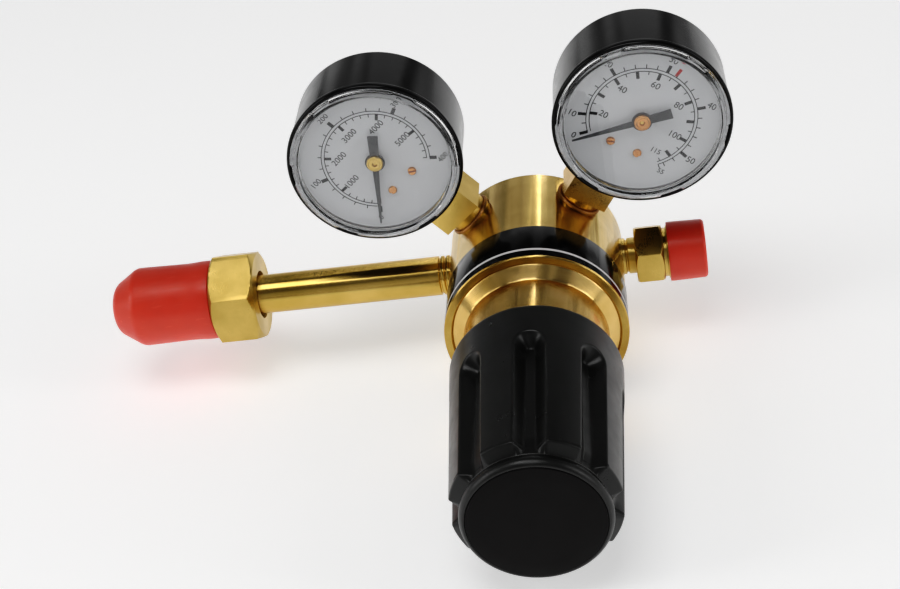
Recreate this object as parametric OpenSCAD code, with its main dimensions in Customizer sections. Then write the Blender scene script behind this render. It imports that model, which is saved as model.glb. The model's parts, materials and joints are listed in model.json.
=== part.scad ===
// Single-stage gas regulator with two gauges. Millimetres.
// +X runs from the inlet to the outlet, -Y towards the hand knob, +Z up between the gauges.
// The origin is the seat of the bull-nose inlet nipple, on the axis of the inlet and outlet.

/* [Body] */
// Outside radius of the brass body
body_r = 27.5; // [24:0.5:32]
// Distance from the port axis back to the flat rear face
body_back = 11.1; // [9.5:0.1:16]
// Distance from the port axis forward to the front rim
body_front = 37.4; // [36:0.1:42]
// Wall of the cup that takes the bonnet
cup_wall = 2.1; // [1.6:0.1:4]
// Width of the film band round the front of the body
band_w = 16.1; // [8:0.1:17]
// Thickness of the film band
band_t = 0.35; // [0.2:0.05:0.6]

/* [Bonnet and spring] */
// Outside radius of the bonnet neck
neck_r = 21.8; // [20.5:0.1:23]
// Distance from the port axis to the shoulder of the neck
neck_front = 59.5; // [58:0.1:62]
// Axial depth of the sloping bonnet face
face_h = 3.2; // [1:0.1:5]
// Mean radius of the main spring coil
spring_r = 12; // [11:0.1:13]
// Radius of the main spring wire
spring_wire_r = 1.5; // [1:0.1:1.8]
// Turns in the main spring
spring_turns = 5; // [4:0.5:6]

/* [Knob and screw] */
// Knob radius at its back edge
knob_r = 25.4; // [25:0.1:29]
// Knob radius at the front end of the lands
knob_front_r = 23; // [22:0.1:26]
// Knob length
knob_len = 63.5; // [60:0.5:80]
// Distance from the port axis to the knob's back edge
knob_back = 58; // [57:0.1:59]
// Radius of the front disc of the knob
disc_r = 19.5; // [18:0.1:21]
// Grooves round the knob
grooves = 8; // [6:1:10]
// Radius of one groove
groove_r = 4.6; // [3:0.1:5]
// Pitch of the adjusting screw
screw_pitch = 1.5; // [1:0.25:1.5]
// Turns of the adjusting screw from slack to full pressure
screw_turns = 5; // [3:1:5]
// Outside radius of the adjusting screw thread
screw_r = 7; // [5:0.1:7.5]

/* [Inlet] */
// Distance from the nipple's seat to the axis of the body
inlet_reach = 125; // [105:1:150]
// Outside radius of the inlet stem
stem_r = 6.3; // [5.8:0.1:6.8]
// Outside radius of the male cylinder thread, a G 5/8
inlet_thread_r = 11.45; // [11.45:0.01:11.46]
// Across-flats size of the inlet nut
inlet_hex = 27.5; // [26:0.5:30]

/* [Outlet] */
// Outside radius of the male hose thread, a G 3/8
outlet_thread_r = 8.33; // [8.33:0.01:8.34]
// Across-flats size of the outlet union
outlet_hex = 17; // [17:0.5:19]
// Bore radius of the flow jet
jet_r = 0.4; // [0.3:0.05:0.8]

/* [Gauges] */
// Outside radius of a gauge case, a 50 mm gauge
case_r = 26; // [25:0.1:27]
// Lean of the left, contents gauge from upright
left_lean = 40; // [36:1:44]
// Lean of the right, flow gauge from upright
right_lean = 35; // [33:1:42]
// Length of a gauge shank seen between the body and the case
shank_len = 12.5; // [11:0.5:16]
// Distance from the port axis forward to the case rim
case_front = 13.3; // [13:0.1:15]
// Distance from the port axis back to the back of the case
case_back = 10.6; // [10:0.1:11]
// Across-flats size of the square on a gauge shank
shank_sq = 14; // [13:0.5:15]
// Radius of the gauge shank thread, a G 1/4
shank_thread_r = 6.58; // [6.57:0.01:6.58]
// Zero stop of the pointers, measured from upright
zero_angle = -135; // [-140:1:-130]

/* [Hidden] */
$fn = 64;

// Clearances: screwed or pressed joints, running fits, moving neighbours.
joint_gap = 0.05;
run_gap = 0.06;
free_gap = 0.3;
edge = 1;

// Colours.
brass = "goldenrod";
steel = "silver";
bronze = "peru";
black = [0.08, 0.08, 0.09];
red = [0.85, 0.1, 0.07];
clear = [0.8, 0.85, 0.9, 0.35];

// Depths inside the body, all measured along Y from the port axis, front negative.
cup_r = body_r - cup_wall;
seat_y = -19.5;
low_floor_y = -13;
low_r = 17;
nozzle_floor_y = -9;
nozzle_thread_r = 8;
high_r = 7;
high_end_y = 4;
guide_r = 1.6;
guide_end_y = 7.5;
port_r = 6;
port_depth = 9;
port_floor = body_r - port_depth;
gauge_port_floor = body_r - port_depth;
gauge_pilot_floor = 12.2;
drilling_at = 14;

// Diaphragm stack.
diaphragm_t = 1.2;
stack_r = cup_r - 1.8;
ring_t = 2.2;
diaphragm_front_y = seat_y - diaphragm_t;
ring_front_y = diaphragm_front_y - ring_t;
plate_front_y = diaphragm_front_y - 2.6;
stud_r = 2.5;
boss_y = -17.5;

// Bonnet.
bonnet_back_y = ring_front_y - joint_gap;
chamber_r = neck_r - 3.2;
chamber_end_y = -54;
nose_r = neck_r - 4.6;
nose_front_y = -66;
screw_travel = screw_pitch * screw_turns;

// Screw and knob.
button_back_y = chamber_end_y + 3.3;
button_front_y = chamber_end_y + 0.5;
screw_tip_y = button_front_y + 1.7;
screw_shoulder_y = -80;
screw_stud_r = 5;
knob_back_y = -knob_back;
knob_end_y = -(knob_back + knob_len);
knob_boss_y = knob_end_y + 14.5;
screw_end_y = knob_boss_y - 6.5;
land_end_y = knob_end_y + 4.5;
groove_start_y = knob_back_y - 12;
groove_centre_r = knob_r - 0.5;
groove_turn = 2.5;
cap_t = 2;
cap_r = disc_r - 2;

// Valve.
nozzle_tip_y = -6.5;
disc_t = 1.5;
poppet_front_y = nozzle_tip_y + joint_gap + disc_t;
poppet_collar_y = -1;
poppet_tail_y = 6;
pin_r = 0.9;

// Inlet distances, measured from the body axis towards -X.
nut_hex_from = 89.8 + inlet_reach - 125;
nut_hex_to = nut_hex_from + 14.7;
nut_thread_to = nut_hex_to + 16;
nut_seat = nut_hex_to + 7.5;
nipple_r = 9;
nipple_from = nut_seat + 0.4;
nipple_to = inlet_reach + 6;
nose_start = nipple_to - nipple_r;
inlet_cap_end = nipple_to + 7.3;
o_ring_r = 1;
filter_bore_r = 4.2;
o_ring_at = inlet_reach - 0.5;

// Outlet distances along +X.
outlet_neck_r = 5.7;
outlet_hex_from = body_r + 4;
outlet_hex_to = outlet_hex_from + 8.8;
outlet_thread_from = outlet_hex_to + 1.2;
outlet_thread_to = outlet_thread_from + 10;
outlet_cap_end = outlet_thread_to + 2.1;

// Gauge, in its own frame: centre at the pointer axis, +Z away from the body.
gauge_reach = body_r + shank_len + case_r;
case_wall = 0.9;
case_in_r = case_r - case_wall;
case_rim_r = case_r + 0.5;
window_r = 22.4;
lens_front_y = -case_front - 1.5;
dial_y = -9.5;
dial_t = 0.5;
dial_r = case_in_r - 0.3;
dial_screw_r = 11.5;
dial_screw_spread = 23;
pointer_y = -11.2;
pointer_t = 0.4;
pointer_len = 21.3;
pointer_tail = 9;
hub_r = 2.4;
hub_front_y = -12.7;
socket_neck_r = 6.9;
square_from = case_r + shank_len - 3.5;
square_to = case_r + 0.35;
shank_end = gauge_reach - gauge_port_floor - 0.5;
plate_t = 0.8;
front_plate_y = -7;
back_plate_y = -0.8;
block_top = -15;
tube_r = 19;
tube_y = 5.3;
tube_start = -110;
tube_turn = -243;
tube_half_w = 1.2;

// Pointer gearing.
gear_module = 0.45;
pinion_teeth = 10;
sector_teeth = 56;
pinion_pitch_r = gear_module * pinion_teeth / 2;
sector_pitch_r = gear_module * sector_teeth / 2;
gear_centres = pinion_pitch_r + sector_pitch_r;
pivot_angle = -45;
pivot = [gear_centres * cos(pivot_angle), gear_centres * sin(pivot_angle)];
arbor_r = 0.7;
pivot_pin_r = 0.8;
link_arm = 3.5;
link_pin_r = 0.5;
sector_y = -3.7;
sector_t = 1.2;
link_y = -2.9;
link_t = 0.6;
link_pin_at = [pivot.x + link_arm * cos(-20), pivot.y + link_arm * sin(-20)];
tip_angle = tube_start + tube_turn;
tip_at = [tube_r * cos(tip_angle), tube_r * sin(tip_angle)];

// ---- Helpers ----

// Everything is drawn about the body axis and moved so that the inlet seat is the origin.
module at_body() {
    translate([inlet_reach, 0, 0]) children();
}

// A cylinder along Y from the first y to the second, which lies in front of it.
module rod_y(r, from, to) {
    translate([0, from, 0]) rotate([90, 0, 0]) cylinder(r = r, h = from - to);
}

// A cylinder along +X.
module rod_x(r, from, to) {
    translate([from, 0, 0]) rotate([0, 90, 0]) cylinder(r = r, h = to - from);
}

// A cylinder along Z.
module rod_z(r, from, to) {
    translate([0, 0, from]) cylinder(r = r, h = to - from);
}

// A turned part about Y, from [y, r] points.
module turned_y(points) {
    rotate([90, 0, 0]) rotate_extrude() polygon([for (p = points) [p.y, -p.x]]);
}

// A turned part about X, from [x, r] points.
module turned_x(points) {
    rotate([0, 90, 0]) rotate_extrude() polygon([for (p = points) [p.y, p.x]]);
}

// Points to draw on the X-Z plane, given a thickness along Y from the back face.
module plate_y(back, t) {
    translate([0, back, 0]) rotate([90, 0, 0]) linear_extrude(t) children();
}

// A hexagon bar along X with its corners turned off at both ends.
module hex_x(flats, from, to) {
    corner_r = flats / 2 / cos(30);
    chamfer = (corner_r - flats / 2) * 1.1;
    end_r = flats / 2 * 0.985;
    intersection() {
        translate([from, 0, 0]) rotate([0, 90, 0]) cylinder(r = corner_r, h = to - from, $fn = 6);
        turned_x([[from, 0], [from, end_r], [from + chamfer * 0.6, end_r + chamfer],
            [to - chamfer * 0.6, end_r + chamfer], [to, end_r], [to, 0]]);
    }
}

// Points of a round bar bent along a helix about Z, one ring of points for each step.
function helix_ring(r, wire_r, turn, z, sides) = [for (i = [0 : sides - 1])
    let (a = i * 360 / sides, out = r + wire_r * cos(a))
    [out * cos(turn), out * sin(turn), z + wire_r * sin(a)]];

// A coil spring along +Z, resting between z = 0 and z = length, with closed end turns.
module coil(r, wire_r, length, turns, steps = 20, sides = 8) {
    rings = turns * steps;
    rise = length - 2 * wire_r;
    points = [for (k = [0 : rings])
        let (t = k / rings, flat = 0.5 - 0.5 * cos(180 * t), z = wire_r + rise * (0.35 * flat + 0.65 * t))
        each helix_ring(r, wire_r, k * 360 / steps, z, sides)];
    side_faces = [for (k = [0 : rings - 1], i = [0 : sides - 1])
        let (a = k * sides + i, b = k * sides + (i + 1) % sides)
        each [[a, b, b + sides], [a, b + sides, a + sides]]];
    start_face = [for (i = [sides - 1 : -1 : 0]) i];
    end_face = [for (i = [0 : sides - 1]) rings * sides + i];
    polyhedron(points, concat(side_faces, [start_face, end_face]));
}

// One gear tooth as a wedge with a flat tip, standing on the root circle and pointing along +X.
module tooth(pitch_r, thin = 0.12) {
    root = pitch_r - 1.15 * gear_module;
    tip = pitch_r + 0.85 * gear_module;
    half = gear_module * PI / 4 - thin;
    polygon([[root - 0.3, -half * 1.45], [root, -half * 1.45], [pitch_r, -half], [tip, -half * 0.4],
        [tip, half * 0.4], [pitch_r, half], [root, half * 1.45], [root - 0.3, half * 1.45]]);
}

// Moves a gauge from its own frame to its place on the body.
module at_gauge(lean) {
    at_body() rotate([0, lean, 0]) translate([0, 0, gauge_reach]) children();
}

// ---- Regulator head ----

module body_passages() {
    rod_y(low_r, low_floor_y, seat_y - 1);
    rod_y(nozzle_thread_r, nozzle_floor_y, low_floor_y - 1);
    rod_y(high_r, high_end_y, nozzle_floor_y - 1);
    rod_y(guide_r, guide_end_y, high_end_y - 1);
    rod_x(port_r, -body_r - 1, -port_floor);
    rod_x(2.5, -port_floor - 1, -high_r + 1);
    rod_x(port_r, port_floor, body_r + 1);
    rod_x(2.5, drilling_at - 2, port_floor + 1);
    translate([drilling_at, 0, 0]) rod_y(1.8, 1.8, low_floor_y - 1);
    rotate([0, -left_lean, 0]) rod_z(shank_thread_r + joint_gap, gauge_port_floor, body_r + 1);
    rotate([0, -left_lean, 0]) rod_z(1.5, high_r - 1, gauge_port_floor + 1);
    rotate([0, right_lean, 0]) rod_z(shank_thread_r + joint_gap, gauge_port_floor, body_r + 1);
    rotate([0, right_lean, 0]) rod_z(1.5, gauge_pilot_floor, gauge_port_floor + 1);
    rotate([0, right_lean, 0]) translate([0, 0, drilling_at]) rod_y(1.2, 1.2, low_floor_y - 1);
}

module body() {
    lip = 0.8;
    color(brass) at_body() difference() {
        turned_y([[body_back, 0], [body_back, body_r - edge], [body_back - edge, body_r],
            [lip - body_front, body_r], [lip - body_front, body_r + band_t + 0.05],
            [0.3 - body_front, body_r + band_t + 0.05], [-body_front, body_r + band_t - 0.25],
            [-body_front, cup_r + 0.3], [0.3 - body_front, cup_r], [seat_y, cup_r], [seat_y, 0]]);
        body_passages();
    }
}

module label_band() {
    front = 0.8 - body_front;
    color(black) at_body() difference() {
        rod_y(body_r + band_t, front + band_w, front);
        rod_y(body_r, front + band_w + 1, front - 1);
    }
}

module bonnet() {
    face_y = 0.3 - body_front;
    neck_y = face_y - face_h;
    color(brass) at_body() difference() {
        turned_y([[bonnet_back_y, 0], [bonnet_back_y, cup_r - joint_gap], [face_y, cup_r - joint_gap],
            [face_y - 0.4, cup_r - 0.5], [neck_y + 0.6, neck_r + 0.6], [neck_y, neck_r],
            [edge - neck_front, neck_r], [-neck_front, neck_r - edge], [-neck_front, nose_r],
            [nose_front_y + edge, nose_r], [nose_front_y, nose_r - edge], [nose_front_y, 0]]);
        rod_y(chamber_r, bonnet_back_y + 1, chamber_end_y);
        rod_y(screw_r + run_gap, chamber_end_y + 1, nose_front_y - 1);
    }
}

module diaphragm() {
    color("dimgray") at_body() difference() {
        rod_y(stack_r, seat_y, diaphragm_front_y);
        rod_y(stud_r + joint_gap, seat_y + 1, diaphragm_front_y - 1);
    }
}

module slip_ring() {
    color(steel) at_body() difference() {
        rod_y(stack_r, diaphragm_front_y, ring_front_y);
        rod_y(low_r, diaphragm_front_y + 1, ring_front_y - 1);
    }
}

module diaphragm_plate() {
    spigot_r = spring_r - spring_wire_r - 0.8;
    color(brass) at_body() difference() {
        union() {
            rod_y(low_r - 1.3, diaphragm_front_y, plate_front_y);
            rod_y(spigot_r, plate_front_y + 0.5, plate_front_y - 2.5);
        }
        rod_y(stud_r + joint_gap, seat_y, plate_front_y - 3);
    }
}

module diaphragm_boss() {
    color(brass) at_body() union() {
        rod_y(6, boss_y, seat_y);
        rod_y(stud_r, seat_y + 0.5, plate_front_y - 2);
    }
}

module main_spring() {
    length = plate_front_y - button_back_y - 0.2;
    color("dimgray") at_body() translate([0, plate_front_y - 0.1, 0]) rotate([90, 0, 0])
        coil(spring_r, spring_wire_r, length, spring_turns);
}

module spring_button() {
    spigot_r = spring_r - spring_wire_r - 0.8;
    color(steel) at_body() difference() {
        union() {
            rod_y(chamber_r - 1.6, button_back_y, button_front_y);
            rod_y(spigot_r, button_back_y + 2.5, button_back_y - 0.5);
        }
        rod_y(4, screw_tip_y + 0.2, button_front_y - 1);
    }
}

module adjusting_screw() {
    color(steel) at_body() turned_y([[screw_tip_y, 0], [screw_tip_y, 3], [screw_tip_y - 0.6, 3.6],
        [button_front_y - 0.6, 3.6], [button_front_y - 0.6, screw_r - 0.8],
        [button_front_y - 1.4, screw_r], [screw_shoulder_y, screw_r],
        [screw_shoulder_y, screw_stud_r], [screw_end_y + 0.5, screw_stud_r],
        [screw_end_y, screw_stud_r - 0.5], [screw_end_y, 0]]);
}

// The outside of the knob: a long taper, the chamfer that ends the lands, and the front disc.
module knob_outside() {
    turned_y([[knob_back_y, 0], [knob_back_y, knob_r - edge], [knob_back_y - edge, knob_r],
        [land_end_y + 1, knob_front_r], [land_end_y - 2, disc_r + 0.6], [knob_end_y + 1, disc_r],
        [knob_end_y, disc_r - 1], [knob_end_y, 0]]);
}

// One groove: a channel with a tapered start that runs out through the front of the lands.
module knob_groove() {
    taper = 3;
    translate([0, 0, groove_centre_r]) {
        rod_y(groove_r, groove_start_y - taper, land_end_y - 1);
        translate([0, groove_start_y, 0]) rotate([90, 0, 0])
            cylinder(r1 = groove_r - 2.6, r2 = groove_r, h = taper);
    }
}

module knob() {
    color(black) at_body() difference() {
        knob_outside();
        for (k = [0 : grooves - 1]) rotate([0, groove_turn + k * 360 / grooves, 0]) knob_groove();
        rod_y(neck_r + 0.8, knob_back_y + 1, -neck_front - screw_travel - 1);
        rod_y(nose_r + 0.8, knob_back_y, screw_shoulder_y);
        rod_y(screw_stud_r + joint_gap, screw_shoulder_y + 1, knob_boss_y - 1);
        rod_y(10, knob_boss_y, knob_end_y - 1);
        difference() {
            rod_y(16.5, screw_shoulder_y - 6, knob_end_y - 1);
            rod_y(9, screw_shoulder_y - 5, knob_end_y - 2);
        }
        rod_y(cap_r + joint_gap, knob_end_y + cap_t + 0.3, knob_end_y - 1);
    }
}

module knob_cap() {
    color(black) at_body() turned_y([[knob_end_y + cap_t + 0.3, 0], [knob_end_y + cap_t + 0.3, cap_r],
        [knob_end_y + 0.3, cap_r], [knob_end_y + 0.1, cap_r - 0.4], [knob_end_y - 0.5, 0]]);
}

module knob_nut() {
    color(steel) at_body() difference() {
        translate([0, knob_boss_y, 0]) rotate([90, 0, 0]) cylinder(r = 9.4, h = 5, $fn = 6);
        rod_y(screw_stud_r + joint_gap, knob_boss_y + 1, knob_boss_y - 6);
    }
}

// ---- Valve ----

module seat_nozzle() {
    flange_y = low_floor_y - 1.4;
    color(brass) at_body() difference() {
        union() {
            rod_y(9.5, low_floor_y, flange_y);
            rod_y(nozzle_thread_r - joint_gap, nozzle_floor_y - joint_gap, low_floor_y - 0.5);
            turned_y([[nozzle_tip_y, 0], [nozzle_tip_y, 2.2], [nozzle_floor_y + 0.2, 3.6],
                [nozzle_floor_y - 1, 3.6], [nozzle_floor_y - 1, 0]]);
        }
        rod_y(1.5, nozzle_tip_y + 1, flange_y - 1);
        rod_y(3, nozzle_floor_y - 2, flange_y - 1);
    }
}

module valve_poppet() {
    color(brass) at_body() union() {
        rod_y(3.6, poppet_collar_y, poppet_front_y);
        rod_y(guide_r - run_gap, poppet_tail_y, poppet_collar_y - 0.5);
        rod_y(pin_r, poppet_front_y + 0.5, boss_y + 0.2);
    }
}

module valve_disc() {
    color("ivory") at_body() difference() {
        rod_y(3.4, poppet_front_y, nozzle_tip_y + joint_gap);
        rod_y(pin_r + joint_gap, poppet_front_y + 1, nozzle_tip_y - 1);
    }
}

module valve_spring() {
    color(steel) at_body() translate([0, high_end_y - 0.1, 0]) rotate([90, 0, 0])
        coil(2.7, 0.4, high_end_y - poppet_collar_y - 0.2, 5, 16, 6);
}

// ---- Inlet ----

module inlet_stem() {
    waist_r = stem_r - 0.6;
    bore_r = 2.5;
    steps = [[port_floor + joint_gap, 0], [port_floor + joint_gap, port_r - joint_gap],
        [body_r, port_r - joint_gap], [body_r, stem_r], [body_r + 0.9, stem_r],
        [body_r + 1.1, waist_r], [body_r + 1.5, waist_r], [body_r + 1.7, stem_r],
        [body_r + 2.6, stem_r], [body_r + 2.8, waist_r], [body_r + 3.2, waist_r],
        [body_r + 3.4, stem_r], [nipple_from, stem_r], [nipple_from + 2.7, nipple_r],
        [nose_start, nipple_r], [nose_start, 0]];
    color(brass) at_body() mirror([1, 0, 0]) rotate([0, 90, 0]) rotate_extrude() difference() {
        union() {
            polygon([for (p = steps) [p.y, p.x]]);
            translate([0, nose_start]) intersection() {
                circle(r = nipple_r);
                translate([0, -1]) square([nipple_r, nipple_r + 1]);
            }
        }
        translate([-1, port_floor]) square([bore_r + 1, nipple_to]);
        translate([-1, nose_start - 8]) square([filter_bore_r + 1, nipple_to]);
        translate([nipple_at(o_ring_at) - 0.3, o_ring_at]) circle(r = o_ring_r + joint_gap);
    }
}

// Radius of the rounded nose at a distance from the body axis.
function nipple_at(d) = sqrt(pow(nipple_r, 2) - pow(d - nose_start, 2));

module inlet_filter() {
    color(bronze) at_body() mirror([1, 0, 0])
        rod_x(filter_bore_r - joint_gap, nose_start - 7.9, nose_start + 3);
}

module nipple_ring() {
    color(black) at_body() mirror([1, 0, 0]) translate([o_ring_at, 0, 0]) rotate([0, 90, 0])
        rotate_extrude() translate([nipple_at(o_ring_at) - 0.3, 0]) circle(r = o_ring_r);
}

module inlet_nut() {
    color(brass) at_body() mirror([1, 0, 0]) difference() {
        union() {
            hex_x(inlet_hex, nut_hex_from, nut_hex_to);
            turned_x([[nut_hex_to - 1, 0], [nut_hex_to - 1, inlet_thread_r],
                [nut_thread_to - 1, inlet_thread_r], [nut_thread_to, inlet_thread_r - 1],
                [nut_thread_to, 0]]);
        }
        rod_x(stem_r + run_gap, nut_hex_from - 1, nut_thread_to);
        turned_x([[nut_hex_from - 1, 0], [nut_hex_from - 1, stem_r + 1.9], [nut_hex_from + 1, stem_r],
            [nut_hex_from + 1, 0]]);
        turned_x([[nut_seat - 1, 0], [nut_seat, stem_r + run_gap], [nut_seat + 3, nipple_r + 0.3],
            [nut_thread_to + 1, nipple_r + 0.3], [nut_thread_to + 1, 0]]);
    }
}

module inlet_cap() {
    wall_r = inlet_thread_r + 1.35;
    start = nut_hex_to + free_gap;
    color(red) at_body() mirror([1, 0, 0]) turned_x([[start, inlet_thread_r + run_gap],
        [start, wall_r], [inlet_cap_end - 8, wall_r], [inlet_cap_end - 0.8, 7.6],
        [inlet_cap_end, 6.6], [inlet_cap_end, 0], [inlet_cap_end - 2, 0],
        [inlet_cap_end - 2, 6], [nipple_to - 4, nipple_r + 1], [nut_thread_to + 0.5, nipple_r + 1],
        [nut_thread_to + 0.5, inlet_thread_r + run_gap]]);
}

// ---- Outlet ----

module outlet_fitting() {
    waist_r = outlet_neck_r - 0.6;
    color(brass) at_body() difference() {
        union() {
            turned_x([[port_floor + joint_gap, 0], [port_floor + joint_gap, port_r - joint_gap],
                [body_r, port_r - joint_gap], [body_r, outlet_neck_r], [body_r + 0.9, outlet_neck_r],
                [body_r + 1.1, waist_r], [body_r + 1.5, waist_r], [body_r + 1.7, outlet_neck_r],
                [outlet_hex_from + 1, outlet_neck_r], [outlet_hex_from + 1, 0]]);
            hex_x(outlet_hex, outlet_hex_from, outlet_hex_to);
            rod_x(outlet_thread_r - 0.6, outlet_hex_to - 1, outlet_thread_from + 1);
            turned_x([[outlet_thread_from, 0], [outlet_thread_from, outlet_thread_r],
                [outlet_thread_to - 0.8, outlet_thread_r], [outlet_thread_to, outlet_thread_r - 0.8],
                [outlet_thread_to, 0]]);
        }
        rod_x(2.5, port_floor, outlet_thread_to + 1);
        rod_x(3, outlet_hex_from, outlet_thread_to + 1);
        turned_x([[outlet_thread_to - 3.5, 0], [outlet_thread_to - 3.5, 3],
            [outlet_thread_to + 0.5, 5.6], [outlet_thread_to + 0.5, 0]]);
    }
}

module outlet_jet() {
    color(brass) at_body() difference() {
        rod_x(3 - joint_gap, outlet_hex_from + joint_gap, outlet_hex_from + 5);
        rod_x(jet_r, outlet_hex_from - 1, outlet_hex_from + 6);
    }
}

module outlet_cap() {
    wall_r = outlet_thread_r + 1.05;
    color(red) at_body() turned_x([[outlet_thread_from + free_gap, outlet_thread_r + run_gap],
        [outlet_thread_from + free_gap, wall_r], [outlet_cap_end - 0.6, wall_r],
        [outlet_cap_end, wall_r - 0.6], [outlet_cap_end, 0], [outlet_cap_end - 1.4, 0],
        [outlet_cap_end - 1.4, outlet_thread_r + run_gap]]);
}

// ---- Gauges, each drawn in the gauge's own frame ----

module gauge_case() {
    bead = 2;
    color(black) difference() {
        turned_y([[case_back, 0], [case_back, case_r - edge], [case_back - edge, case_r],
            [bead - case_front, case_r], [bead - case_front, case_rim_r], [0.4 - case_front, case_rim_r],
            [-case_front, case_rim_r - 0.4], [-case_front, case_in_r], [case_back - 1, case_in_r],
            [case_back - 1, 0]]);
        rod_z(socket_neck_r + 0.2, -case_r - 1, -case_in_r + 5);
        translate([0, 0, 8]) rod_y(4, case_back + 1, case_back - 2);
    }
}

module gauge_lens() {
    skirt_r = case_in_r - joint_gap;
    color(clear) turned_y([[lens_front_y + 1.5, 0], [lens_front_y + 1.5, window_r - 1.2],
        [dial_y - 0.3, window_r - 0.4], [dial_y - 0.3, skirt_r], [-case_front - joint_gap, skirt_r],
        [-case_front - joint_gap, case_rim_r - 0.5], [-case_front - 0.5, case_rim_r - 0.6],
        [lens_front_y + 0.3, window_r + 0.9], [lens_front_y, window_r], [lens_front_y, 0]]);
}

module gauge_dial() {
    color("gainsboro") difference() {
        rod_y(dial_r, dial_y + dial_t, dial_y);
        rod_y(1.5, 0, 2 * dial_y);
        dial_screw_places() rod_y(0.8, 0, 2 * dial_y);
    }
}

// The two dial screws sit below the hub, one each side.
module dial_screw_places() {
    for (side = [-1, 1]) rotate([0, 180 + side * dial_screw_spread, 0])
        translate([0, 0, dial_screw_r]) children();
}

module gauge_dial_screws() {
    color(brass) dial_screw_places() {
        rod_y(0.75, front_plate_y, dial_y - 0.2);
        rod_y(1.25, dial_y, dial_y - 0.6);
    }
}

module gauge_socket() {
    top = -square_to;
    bottom = -square_from;
    neck_top = block_top - 8;
    color(brass) difference() {
        union() {
            translate([-shank_sq / 2, -shank_sq / 2, bottom]) cube([shank_sq, shank_sq, top - bottom]);
            rod_z(shank_thread_r, -shank_end, bottom + 1);
            rod_z(socket_neck_r - 0.2, top - 1, neck_top);
            translate([-6, back_plate_y, block_top - 9]) cube([12, 8.3, 9]);
        }
        rod_z(1.5, -shank_end - 1, block_top - 4);
        translate([0, tube_y, -18]) rotate([0, -90, 0]) cylinder(r = 1, h = 8);
    }
}

// The flattened section of the Bourdon tube, swept round the case.
module gauge_bourdon_tube() {
    flat_h = 2.1;
    plug_r = 1.9;
    color(bronze) union() {
        translate([0, tube_y, 0]) rotate([90, 0, 0])
            rotate_extrude(angle = tube_turn, start = tube_start) translate([tube_r, 0]) {
                translate([-tube_half_w, -flat_h]) square([2 * tube_half_w, 2 * flat_h]);
                translate([0, flat_h]) circle(r = tube_half_w);
                translate([0, -flat_h]) circle(r = tube_half_w);
            }
        translate([tip_at.x, 0, tip_at.y]) rod_y(plug_r, tube_y + flat_h, link_y + 0.5);
    }
}

module gauge_link() {
    run = tip_at - link_pin_at;
    color(steel) translate([link_pin_at.x, 0, link_pin_at.y]) {
        plate_y(link_y, link_t) {
            circle(r = 1.1);
            translate(run) circle(r = 1.3);
            rotate(atan2(run.y, run.x)) translate([0, -0.7]) square([norm(run), 1.4]);
        }
        rod_y(link_pin_r, link_y - 0.1, sector_y - sector_t - 0.4);
    }
}

// Two plates on three pillars, with holes for the arbor, the pivot and the dial screws.
module gauge_movement() {
    outline = [[-6, -23], [6, -23], [14, -14], [13, -7], [11, 8.5], [-10.5, 8.5], [-10.5, -9]];
    pillars = [[-8, 6], [8.8, 6.2], [0, -20]];
    color(brass) difference() {
        union() {
            plate_y(back_plate_y, plate_t) polygon(outline);
            plate_y(front_plate_y, plate_t) polygon(outline);
            for (p = pillars) translate([p.x, 0, p.y])
                rod_y(1.3, back_plate_y - 0.4, front_plate_y - 0.4);
        }
        rod_y(arbor_r + run_gap, 1, dial_y);
        translate([pivot.x, 0, pivot.y]) rod_y(pivot_pin_r + run_gap, 1, dial_y);
        dial_screw_places() rod_y(0.8, front_plate_y + 1, dial_y);
    }
}

module gauge_sector_gear() {
    step = 360 / sector_teeth;
    face_angle = 180 + pivot_angle;
    first = -2;
    last = 9;
    root_r = sector_pitch_r - 1.15 * gear_module;
    high = face_angle - (first - 0.5) * step;
    low = face_angle - (last + 1.5) * step;
    color(brass) translate([pivot.x, 0, pivot.y]) {
        plate_y(sector_y, sector_t) difference() {
            union() {
                circle(r = 2.2);
                intersection() {
                    circle(r = root_r);
                    polygon([[0, 0], 20 * [cos(low), sin(low)],
                        20 * [cos((low + high) / 2), sin((low + high) / 2)],
                        20 * [cos(high), sin(high)]]);
                }
                for (i = [first : last]) rotate(face_angle - (i + 0.5) * step) tooth(sector_pitch_r);
                rotate(-20) translate([0, -1.2]) square([link_arm, 2.4]);
                rotate(-20) translate([link_arm, 0]) circle(r = 1.2);
            }
            rotate(-20) translate([link_arm, 0]) circle(r = link_pin_r + run_gap);
        }
        rod_y(pivot_pin_r, back_plate_y + 0.2, front_plate_y - plate_t - 0.3);
    }
}

module gauge_pinion() {
    step = 360 / pinion_teeth;
    root_r = pinion_pitch_r - 1.15 * gear_module;
    color(brass) union() {
        plate_y(sector_y + 0.3, sector_t + 0.6) union() {
            circle(r = root_r);
            for (i = [0 : pinion_teeth - 1]) rotate(pivot_angle + i * step) tooth(pinion_pitch_r);
        }
        rod_y(arbor_r, back_plate_y + 0.2, hub_front_y + 0.6);
    }
}

// The pointer lies at its zero stop, drawn upright and turned back.
module gauge_pointer() {
    color("dimgray") rotate([0, zero_angle, 0]) difference() {
        union() {
            rod_y(3, pointer_y, pointer_y - pointer_t);
            plate_y(pointer_y, pointer_t)
                polygon([[-1.1, -1.5], [-0.25, pointer_len], [0.25, pointer_len], [1.1, -1.5]]);
            plate_y(pointer_y, pointer_t)
                polygon([[-1.2, 1.5], [-1.6, -pointer_tail], [1.6, -pointer_tail], [1.2, 1.5]]);
        }
        rod_y(1.3 + joint_gap, pointer_y + 1, pointer_y - pointer_t - 1);
    }
}

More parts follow.
